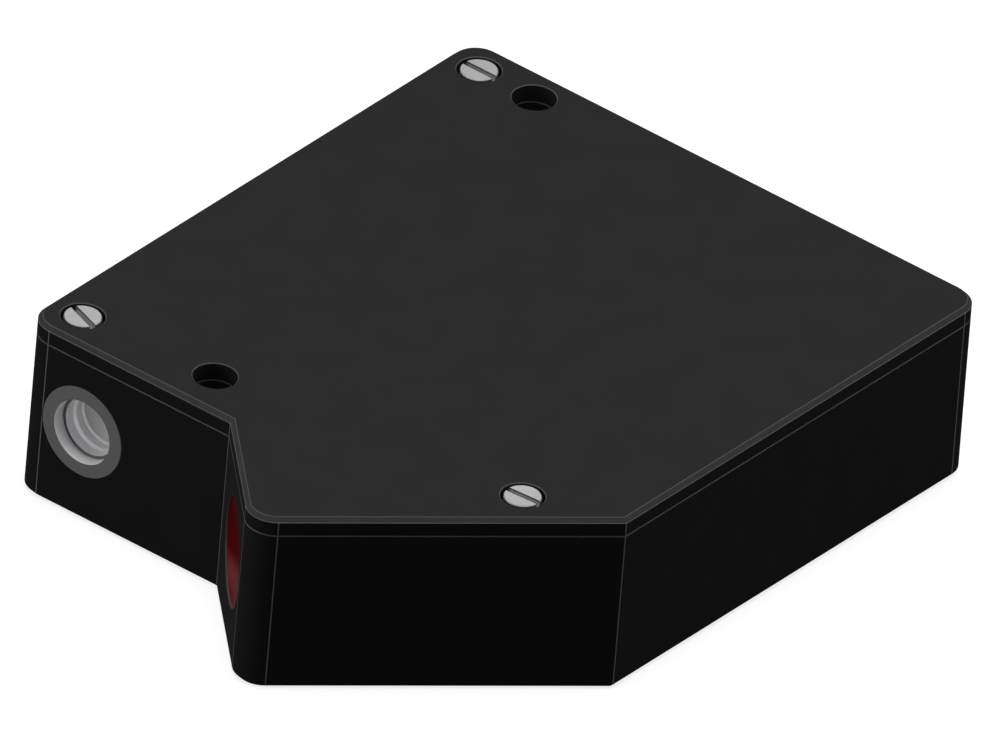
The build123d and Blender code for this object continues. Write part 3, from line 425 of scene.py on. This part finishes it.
def anodised_case():
    """Satin black anodised aluminium, with painted highlights, shown as rubbed anodising, on its bevels and along
    its arrises, corners and joint.
    """
    material, tree, sockets, place = start_material("anodised case", Metallic=0.0, Specular_IOR_Level=0.001)
    kinds = finishes()
    grain = use(tree, "blasted grain", build_grain, {"Vector": place, "Size": 5200.0})
    tone = blend(tree, grain["Tone"], tone_of(kinds.anodised, 0.9), tone_of(kinds.anodised, 1.1))
    edges = use(
        tree,
        "rubbed edges",
        build_edges,
        {
            "Vector": place,
            "Colour": tone,
            "Edge Colour": tuple(kinds.rubbed),
            "Line Colour": tuple(kinds.arris),
            "Corner Highlight Colour": tuple(kinds.corner),
            "Worn Highlight Colour": tuple(kinds.worn_highlight),
            "Base": case_low.z,
            "Joint": case_high.z,
            "Top": cover_top,
        },
    )
    tree.links.new(edges["Colour"], sockets["Base Color"])
    tree.links.new(spread(tree, grain["Tone"], 0.74, 0.86), sockets["Roughness"])
    roughen(tree, sockets, grain["Height"], 0.00001, 0.35)
    return material


def turned_metal(
    name, base, roughness, centre=(0, 0, 0), turn=(0, 0, 0), metallic=1.0, face=None, shade_radius=0.0, lip_radius=0.0
):
    """Turned metal with fine rings round an axis. Centre and turn carry the axis to Z. With a face
    colour, what is square to the X axis or beyond the face radius takes it as painted shade. Within
    the lip radius the metal is painted half as bright, as painted shade."""
    material, tree, sockets, place = start_material(name, Metallic=metallic)
    moved = put(tree, "ShaderNodeMapping", {"Vector": place, "Location": tuple(-c for c in centre)})
    moved = put(tree, "ShaderNodeMapping", {"Vector": moved.outputs[0], "Rotation": turn})
    rings = use(tree, "turning marks", build_lathe, {"Vector": moved.outputs[0], "Pitch": 11000.0})
    shade = blend(tree, rings["Height"], tone_of(base, 0.88), tuple(base))
    # painted shade: inside the lip radius the metal is half as bright
    lip_painted_shade = reckon(tree, "LESS_THAN", rings["Radius"], lip_radius)
    shade = blend(tree, lip_painted_shade, shade, tone_of(base, 0.5))
    if face is not None:
        normal = put(tree, "ShaderNodeNewGeometry").outputs["True Normal"]
        lean = reckon(tree, "ABSOLUTE", put(tree, "ShaderNodeSeparateXYZ", {0: normal}).outputs["X"])
        outside = reckon(tree, "GREATER_THAN", rings["Radius"], shade_radius)
        # painted shade on faces square to the X axis and beyond the face radius
        painted_shade_mask = reckon(tree, "MAXIMUM", reckon(tree, "GREATER_THAN", lean, 0.9), outside)
        shade = blend(tree, painted_shade_mask, shade, tuple(face))
    tree.links.new(shade, sockets["Base Color"])
    tree.links.new(spread(tree, rings["Height"], roughness - 0.06, roughness + 0.1), sockets["Roughness"])
    roughen(tree, sockets, rings["Height"], 0.000004, 0.5)
    return material


def grained(name, base, roughness, size, depth, metallic=0.0, specular=0.5):
    """A plain surface with fine grain: moulded plastic, rubber, plating or blackened metal."""
    material, tree, sockets, place = start_material(name, Metallic=metallic, Specular_IOR_Level=specular)
    grain = use(tree, "blasted grain", build_grain, {"Vector": place, "Size": size})
    tree.links.new(blend(tree, grain["Tone"], tone_of(base, 0.86), tuple(base)), sockets["Base Color"])
    tree.links.new(spread(tree, grain["Tone"], roughness - 0.06, roughness + 0.06), sockets["Roughness"])
    roughen(tree, sockets, grain["Height"], depth, 0.5)
    return material


def slot_lines(tree, place, width):
    """1 within a width of the upper edges of the slots, each as far as the edge is long."""
    lines = 0.0
    for first, second in slot_edges:
        start, end = Vector((*first, head_top)), Vector((*second, head_top))
        away = put(tree, "ShaderNodeVectorMath", {0: place, 1: (start + end) / 2}, operation="SUBTRACT").outputs[0]
        along = (end - start).normalized()
        across = put(tree, "ShaderNodeVectorMath", {0: away, 1: along}, operation="CROSS_PRODUCT").outputs[0]
        reach = put(tree, "ShaderNodeVectorMath", {0: away}, operation="LENGTH").outputs["Value"]
        gap = put(tree, "ShaderNodeVectorMath", {0: across}, operation="LENGTH").outputs["Value"]
        here = reckon(tree, "LESS_THAN", reach, (end - start).length / 2 + width)
        lines = reckon(tree, "MAXIMUM", lines, reckon(tree, "MULTIPLY", here, reckon(tree, "LESS_THAN", gap, width)))
    return lines


def screw_steel():
    """Steel with one tone where it faces up, as the head's top, and a lighter one on its sides and in its
    slot, painted light where they lie in shade; painted shade on its bevels and along the edges of its slot."""
    material, tree, sockets, place = start_material("screw steel", Metallic=1.0)
    kinds = finishes()
    grain = use(tree, "blasted grain", build_grain, {"Vector": place, "Size": 4200.0})
    normal = put(tree, "ShaderNodeNewGeometry").outputs["True Normal"]
    rise = put(tree, "ShaderNodeSeparateXYZ", {0: normal}).outputs["Z"]
    above = reckon(tree, "GREATER_THAN", rise, 0.9)
    lean = reckon(tree, "COMPARE", rise, math.sqrt(0.5), 0.15)
    tone = spread(tree, grain["Tone"], 0.85, 1.1)
    # painted light: the sides and slot take a lighter tone than the top
    shade = blend(tree, above, tuple(kinds.side_steel_painted_light), tuple(kinds.steel))
    # painted shade on the bevels
    shade = blend(tree, lean, shade, tuple(kinds.rim_painted_shade))
    # painted shade along the slot's edges
    shade = blend(tree, slot_lines(tree, place, SLOT_LINE), shade, tuple(kinds.slot_edge_painted_shade))
    lit = put(tree, "ShaderNodeVectorMath", {0: shade, "Scale": tone}, operation="SCALE").outputs[0]
    tree.links.new(lit, sockets["Base Color"])
    tree.links.new(spread(tree, grain["Tone"], 0.4, 0.5), sockets["Roughness"])
    roughen(tree, sockets, grain["Height"], 0.000006, 0.5)
    return material


def clear_glass(name, tint, roughness):
    """Coated lens glass."""
    material, tree, sockets, place = start_material(
        name, Metallic=0.0, Transmission_Weight=0.2, IOR=1.5, Base_Color=tuple(tint)
    )
    grain = use(tree, "blasted grain", build_grain, {"Vector": place, "Size": 900.0})
    tree.links.new(spread(tree, grain["Tone"], roughness, roughness + 0.03), sockets["Roughness"])
    return material


def red_filter():
    """Dark red filter with a painted highlight: paler in a band near its lower rim."""
    material, tree, sockets, place = start_material("red filter", Metallic=0.0, Specular_IOR_Level=0.002)
    kinds = finishes()
    grain = use(tree, "blasted grain", build_grain, {"Vector": place, "Size": 2500.0})
    height = put(tree, "ShaderNodeSeparateXYZ", {0: place}).outputs["Z"]
    away = reckon(tree, "ABSOLUTE", reckon(tree, "SUBTRACT", height, window_middle.z - HIGHLIGHT_DROP))
    # painted highlight: a paler band below the window's middle
    glow = put(
        tree,
        "ShaderNodeMapRange",
        {"Value": away, "From Max": HIGHLIGHT_REACH, "To Min": 1.0, "To Max": 0.0},
        interpolation_type="SMOOTHSTEP",
    )
    deep = blend(tree, grain["Tone"], tone_of(kinds.window_red, 0.8), tuple(kinds.window_red))
    tree.links.new(blend(tree, glow.outputs["Result"], deep, tuple(kinds.window_painted_highlight)), sockets["Base Color"])
    tree.links.new(spread(tree, grain["Tone"], 0.42, 0.5), sockets["Roughness"])
    return material


def board_face():
    """Green solder mask over copper tracks."""
    material, tree, sockets, place = start_material("solder mask", Metallic=0.0, Roughness=0.35)
    kinds = finishes()
    tracks = use(tree, "copper tracks", build_tracks, {"Vector": place})
    copper = tone_of(kinds.solder_mask, 1.9)
    tree.links.new(blend(tree, tracks["Mask"], tuple(kinds.solder_mask), copper), sockets["Base Color"])
    roughen(tree, sockets, tracks["Height"], 0.00003)
    return material


# Connector shell


def shell_surface(thread):
    """The connector's shell as one closed surface. Its section is a closed loop of depth and radius,
    carried round the connector's axis. Along the thread the radius dips by the depth times a
    flattened triangle wave of position over pitch less the angle's share of a turn, and the wave
    fades in and out over half a pitch at both ends."""
    mouth, back, face = shell_low.x, shell_high.x, case_low.x
    flange_front = face - thread.flange
    flange_radius = shell_high.z - shell_middle.z
    outer = thread.outer_radius
    threaded_length = flange_front - mouth - thread.bevel
    rows = max(2, int(threaded_length / thread.pitch * thread.steps_per_turn))
    threaded = np.linspace(mouth + thread.bevel, flange_front, rows)
    corners_before = [
        (back, thread.lip_radius),
        (back - thread.lip, thread.lip_radius),
        (back - thread.lip, thread.bore_radius),
        (mouth, thread.bore_radius),
        (mouth, outer - thread.bevel),
    ]
    corners_after = [
        (flange_front, flange_radius - thread.flange_break),
        (flange_front + thread.flange_break, flange_radius),
        (face, flange_radius),
        (face, thread.seal_outer),
        (face - thread.seal_depth, thread.seal_outer),
        (face - thread.seal_depth, thread.seal_inner),
        (face, thread.seal_inner),
        (face, outer),
        (back, outer),
    ]
    section = np.array(corners_before + [(x, outer) for x in threaded] + corners_after)
    is_thread = np.zeros(len(section))
    first = len(corners_before)
    inset = np.minimum(threaded - threaded[0], threaded[-1] - threaded)
    is_thread[first:first + rows] = np.clip(inset / (thread.pitch / 2), 0.0, 1.0)
    angles = np.arange(thread.steps_round) * 2 * np.pi / thread.steps_round
    turn = section[:, 0:1] / thread.pitch - angles[None, :] / (2 * np.pi)
    wave = np.abs((turn % 1.0) * 2 - 1)
    groove = np.clip(wave * 1.35 - 0.15, 0.0, 1.0)
    radius = section[:, 1:2] - thread.depth * groove * is_thread[:, None]
    return np.stack(
        [
            np.repeat(section[:, 0:1], len(angles), axis=1),
            shell_middle.y + radius * np.cos(angles)[None, :],
            shell_middle.z + radius * np.sin(angles)[None, :],
        ],
        axis=-1,
    )


def closed_grid_mesh(name, points):
    """A mesh from a grid of points that closes on itself both ways."""
    rows, columns = points.shape[:2]
    index = np.arange(rows * columns).reshape(rows, columns)
    below, beside = np.roll(index, -1, axis=0), np.roll(index, -1, axis=1)
    diagonal = np.roll(below, -1, axis=1)
    quads = np.stack([index, beside, diagonal, below], axis=-1).reshape(-1, 4)
    mesh = bpy.data.meshes.new(name)
    mesh.from_pydata(points.reshape(-1, 3), [], quads)
    mesh.update()
    return mesh


def add_piece(name, mesh, material):
    """Links a finished mesh as a piece that rides on the sensor's body."""
    piece = bpy.data.objects.new(name, mesh)
    bpy.context.scene.collection.objects.link(piece)
    mesh.materials.append(material)
    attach(piece, BODY)
    return piece


def smooth_below(mesh, degrees):
    """Shades a mesh smooth except across edges sharper than an angle."""
    mesh.polygons.foreach_set("use_smooth", np.ones(len(mesh.polygons), bool))
    mesh.set_sharp_from_angle(angle=math.radians(degrees))


# Stage


def glare_rays(tree):
    """1 for rays from the camera, mirrors and glass, so that they see the pale background."""
    rays = put(tree, "ShaderNodeLightPath").outputs
    seen = reckon(tree, "MAXIMUM", rays["Is Camera Ray"], rays["Is Glossy Ray"])
    return reckon(tree, "MAXIMUM", seen, rays["Is Transmission Ray"])


def floor_material(stage):
    """Pale floor that keeps the shadow and looks white where nothing shades it."""
    material, tree, sockets, _ = start_material("pale floor", Metallic=0.0, Roughness=0.9, Specular_IOR_Level=0.0)
    seen = glare_rays(tree)
    shade = blend(tree, seen, tuple(stage.bounce_colour), tuple(stage.floor_colour))
    tree.links.new(shade, sockets["Base Color"])
    sockets["Emission Color"].default_value = (1.0, 1.0, 1.0, 1.0)
    tree.links.new(reckon(tree, "MULTIPLY", seen, stage.glow), sockets["Emission Strength"])
    shader = next(node for node in tree.nodes if node.type == "BSDF_PRINCIPLED")
    clear = put(tree, "ShaderNodeBsdfTransparent")
    behind = put(tree, "ShaderNodeNewGeometry").outputs["Backfacing"]
    mix = put(tree, "ShaderNodeMixShader", {0: behind, 1: shader.outputs[0], 2: clear.outputs[0]})
    out = next(node for node in tree.nodes if node.type == "OUTPUT_MATERIAL")
    tree.links.new(mix.outputs[0], out.inputs["Surface"])
    return material


def add_floor(stage):
    """A flat square floor under the sensor, one quad."""
    half, low = stage.floor_size / 2, case_low.z
    corners = np.array([(-half, -half, low), (half, -half, low), (half, half, low), (-half, half, low)])
    mesh = bpy.data.meshes.new("floor")
    mesh.from_pydata(corners, [], [(0, 1, 2, 3)])
    floor = bpy.data.objects.new("floor", mesh)
    bpy.context.scene.collection.objects.link(floor)
    mesh.materials.append(floor_material(stage))


def add_soft_light(name, direction, distance, side, radiance):
    """A square soft light that looks at the sensor. Its power is radiance times pi times its area."""
    light = bpy.data.lights.new(name, "AREA")
    light.shape = "SQUARE"
    light.size = side
    light.energy = radiance * math.pi * side**2
    lamp = bpy.data.objects.new(name, light)
    bpy.context.scene.collection.objects.link(lamp)
    away = Vector(direction).normalized()
    lamp.location = aim_point + away * distance
    lamp.rotation_mode = "QUATERNION"
    lamp.rotation_quaternion = (-away).to_track_quat("-Z", "Y")
    lamp.visible_camera = False


def add_sky(stage):
    """White surroundings for the camera, mirrors and glass, and a weaker even light for the rest."""
    world = bpy.data.worlds.new("studio")
    bpy.context.scene.world = world
    world.use_nodes = True
    tree = world.node_tree
    background = next(node for node in tree.nodes if node.type == "BACKGROUND")
    background.inputs["Color"].default_value = (1.0, 1.0, 1.0, 1.0)
    tree.links.new(spread(tree, glare_rays(tree), stage.sky, 1.0), background.inputs["Strength"])


def add_camera(stage):
    """A camera without perspective at the photograph's angle."""
    turn, rise = math.radians(stage.azimuth), math.radians(stage.elevation)
    back = Vector((math.sin(turn) * math.cos(rise), -math.cos(turn) * math.cos(rise), math.sin(rise)))
    data = bpy.data.cameras.new("camera")
    data.type = "ORTHO"
    data.ortho_scale = stage.span
    data.clip_start, data.clip_end = 0.1, 20.0
    camera = bpy.data.objects.new("camera", data)
    bpy.context.scene.collection.objects.link(camera)
    camera.location = aim_point + back * stage.distance
    camera.rotation_mode = "QUATERNION"
    level = (-back).to_track_quat("-Z", "Y")
    camera.rotation_quaternion = level @ Quaternion((0.0, 0.0, 1.0), math.radians(stage.roll))
    bpy.context.scene.camera = camera


# Operators


class SENSOR_OT_finish_case(bpy.types.Operator):
    """Give the housing and the cover their black anodised finish"""

    bl_idname = "sensor.finish_case"
    bl_label = "Finish Case"

    def execute(self, context):
        dress(anodised_case(), "housing", "cover")
        return {"FINISHED"}


class SENSOR_OT_finish_laser(bpy.types.Operator):
    """Finish the laser barrel, its lens and what it holds"""

    bl_idname = "sensor.finish_laser"
    bl_label = "Finish Laser"

    def execute(self, context):
        kinds = finishes()
        # painted shade on the barrel's face and outer rim, and inside the lens ring's lip
        barrel = turned_metal(
            "laser barrel", kinds.turned, 0.5, laser_middle, along_x, metallic=0.7, face=kinds.face_painted_shade,
            shade_radius=BARREL_SHADE_RADIUS, lip_radius=LENS_LIP,
        )
        dress(barrel, "laser_barrel", "lens_ring", "diode_retainer")
        dress(clear_glass("laser lens glass", kinds.lens_tint, 0.12), "collimator_lens")
        dress(grained("gold can", kinds.gold, 0.25, 3000.0, 0.000004, metallic=1.0), "laser_diode")
        return {"FINISHED"}


class SENSOR_OT_finish_receiver(bpy.types.Operator):
    """Finish the red window and the receiver's optics"""

    bl_idname = "sensor.finish_receiver"
    bl_label = "Finish Receiver"

    def execute(self, context):
        kinds = finishes()
        dress(red_filter(), "receiver_window")
        blackened = grained("blackened metal", kinds.black_metal, 0.55, 5000.0, 0.000008)
        dress(blackened, "receiver_barrel", "imaging_lens_ring", "stray_light_stop", "detector_bracket")
        dress(clear_glass("imaging lens glass", (0.9, 0.92, 0.95, 1.0), 0.02), "imaging_lens")
        return {"FINISHED"}


class SENSOR_OT_finish_fasteners(bpy.types.Operator):
    """Finish the screws, the clamp and the seals"""

    bl_idname = "sensor.finish_fasteners"
    bl_label = "Finish Fasteners"

    def execute(self, context):
        kinds = finishes()
        dress(
            screw_steel(), "cover_screws", "clamp_screw", "detector_screws", "bracket_screw", "board_screws",
            "barrel_set_screw", "receiver_clamp", "crystal",
        )
        rubber = grained("seal rubber", kinds.rubber, 0.7, 3500.0, 0.00001)
        dress(rubber, "cover_seal", "barrel_seal", "window_seal", "connector_seal")
        return {"FINISHED"}


class SENSOR_OT_finish_boards(bpy.types.Operator):
    """Finish the circuit boards and what they carry"""

    bl_idname = "sensor.finish_boards"
    bl_label = "Finish Boards"

    def execute(self, context):
        kinds = finishes()
        dress(board_face(), "main_board", "detector_board", "laser_driver_board", "connector_board")
        package = grained("chip package", kinds.package, 0.5, 6000.0, 0.000006)
        dress(package, "signal_processor", "voltage_regulator", "detector", "board_link")
        dress(grained("amber film", kinds.film, 0.3, 1500.0, 0.000004), "laser_flex", "detector_flex")
        dress(grained("pale moulding", kinds.socket, 0.45, 5000.0, 0.000006), "flex_sockets")
        dress(turned_metal("capacitor can", kinds.turned, 0.3), "capacitors")
        return {"FINISHED"}


class SENSOR_OT_make_connector(bpy.types.Operator):
    """Make the connector's threaded shell and finish its other pieces"""

    bl_idname = "sensor.make_connector"
    bl_label = "Make Connector"

    def execute(self, context):
        kinds, thread = finishes(), context.scene.sensor_thread
        plated = turned_metal("nickel plating", kinds.nickel, 0.34, shell_middle, along_x)
        mesh = closed_grid_mesh("threaded_shell", shell_surface(thread))
        smooth_below(mesh, 35.0)
        shell = add_piece("threaded_shell", mesh, plated)
        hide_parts("connector_shell")
        dress(plated, "connector_nut")
        dress(grained("connector moulding", kinds.insert, 0.42, 5000.0, 0.000008), "connector_insert")
        dress(grained("gold contacts", kinds.gold, 0.2, 3000.0, 0.000003, metallic=1.0), "connector_pins")
        return {"FINISHED"}


class SENSOR_OT_set_stage(bpy.types.Operator):
    """Add the floor, the soft lights, the surroundings and the camera"""

    bl_idname = "sensor.set_stage"
    bl_label = "Set Stage"

    def execute(self, context):
        stage = context.scene.sensor_stage
        add_floor(stage)
        add_sky(stage)
        add_soft_light("overhead light", (0.0, 0.0, 1.0), 0.8, 0.4, stage.key)
        add_soft_light("front light", (0.8, -0.78, 0.25), 0.7, 0.8, stage.front)
        add_soft_light("rear light", (-1.0, 1.0, 0.5), 0.7, 0.9, stage.rear)
        add_camera(stage)
        context.scene.view_settings.view_transform = "Standard"
        return {"FINISHED"}


class SENSOR_PT_panel(bpy.types.Panel):
    """Lists the sensor's finishes and sizes, and the steps that make its looks"""

    bl_idname = "SENSOR_PT_panel"
    bl_label = "Laser Displacement Sensor"
    bl_space_type = "VIEW_3D"
    bl_region_type = "UI"
    bl_category = "Sensor"

    def draw(self, context):
        for group in (context.scene.sensor_finishes, context.scene.sensor_thread, context.scene.sensor_stage):
            box = self.layout.box()
            for name in group.__annotations__:
                box.prop(group, name)
        for step in steps:
            self.layout.operator(step.bl_idname)


steps = (
    SENSOR_OT_finish_case,
    SENSOR_OT_finish_laser,
    SENSOR_OT_finish_receiver,
    SENSOR_OT_finish_fasteners,
    SENSOR_OT_finish_boards,
    SENSOR_OT_make_connector,
    SENSOR_OT_set_stage,
)
settings = {
    "sensor_finishes": SensorFinishes,
    "sensor_thread": SensorThread,
    "sensor_stage": SensorStage,
}


def register():
    for group in settings.values():
        bpy.utils.register_class(group)
    for name, group in settings.items():
        setattr(bpy.types.Scene, name, PointerProperty(type=group))
    for step in (*steps, SENSOR_PT_panel):
        bpy.utils.register_class(step)


def unregister():
    for step in reversed((*steps, SENSOR_PT_panel)):
        bpy.utils.unregister_class(step)
    for name, group in settings.items():
        delattr(bpy.types.Scene, name)
        bpy.utils.unregister_class(group)


def main():
    register()
    bpy.ops.sensor.finish_case()
    bpy.ops.sensor.finish_laser()
    bpy.ops.sensor.finish_receiver()
    bpy.ops.sensor.finish_fasteners()
    bpy.ops.sensor.finish_boards()
    bpy.ops.sensor.make_connector()
    bpy.ops.sensor.set_stage()


if __name__ == "__main__":
    main()
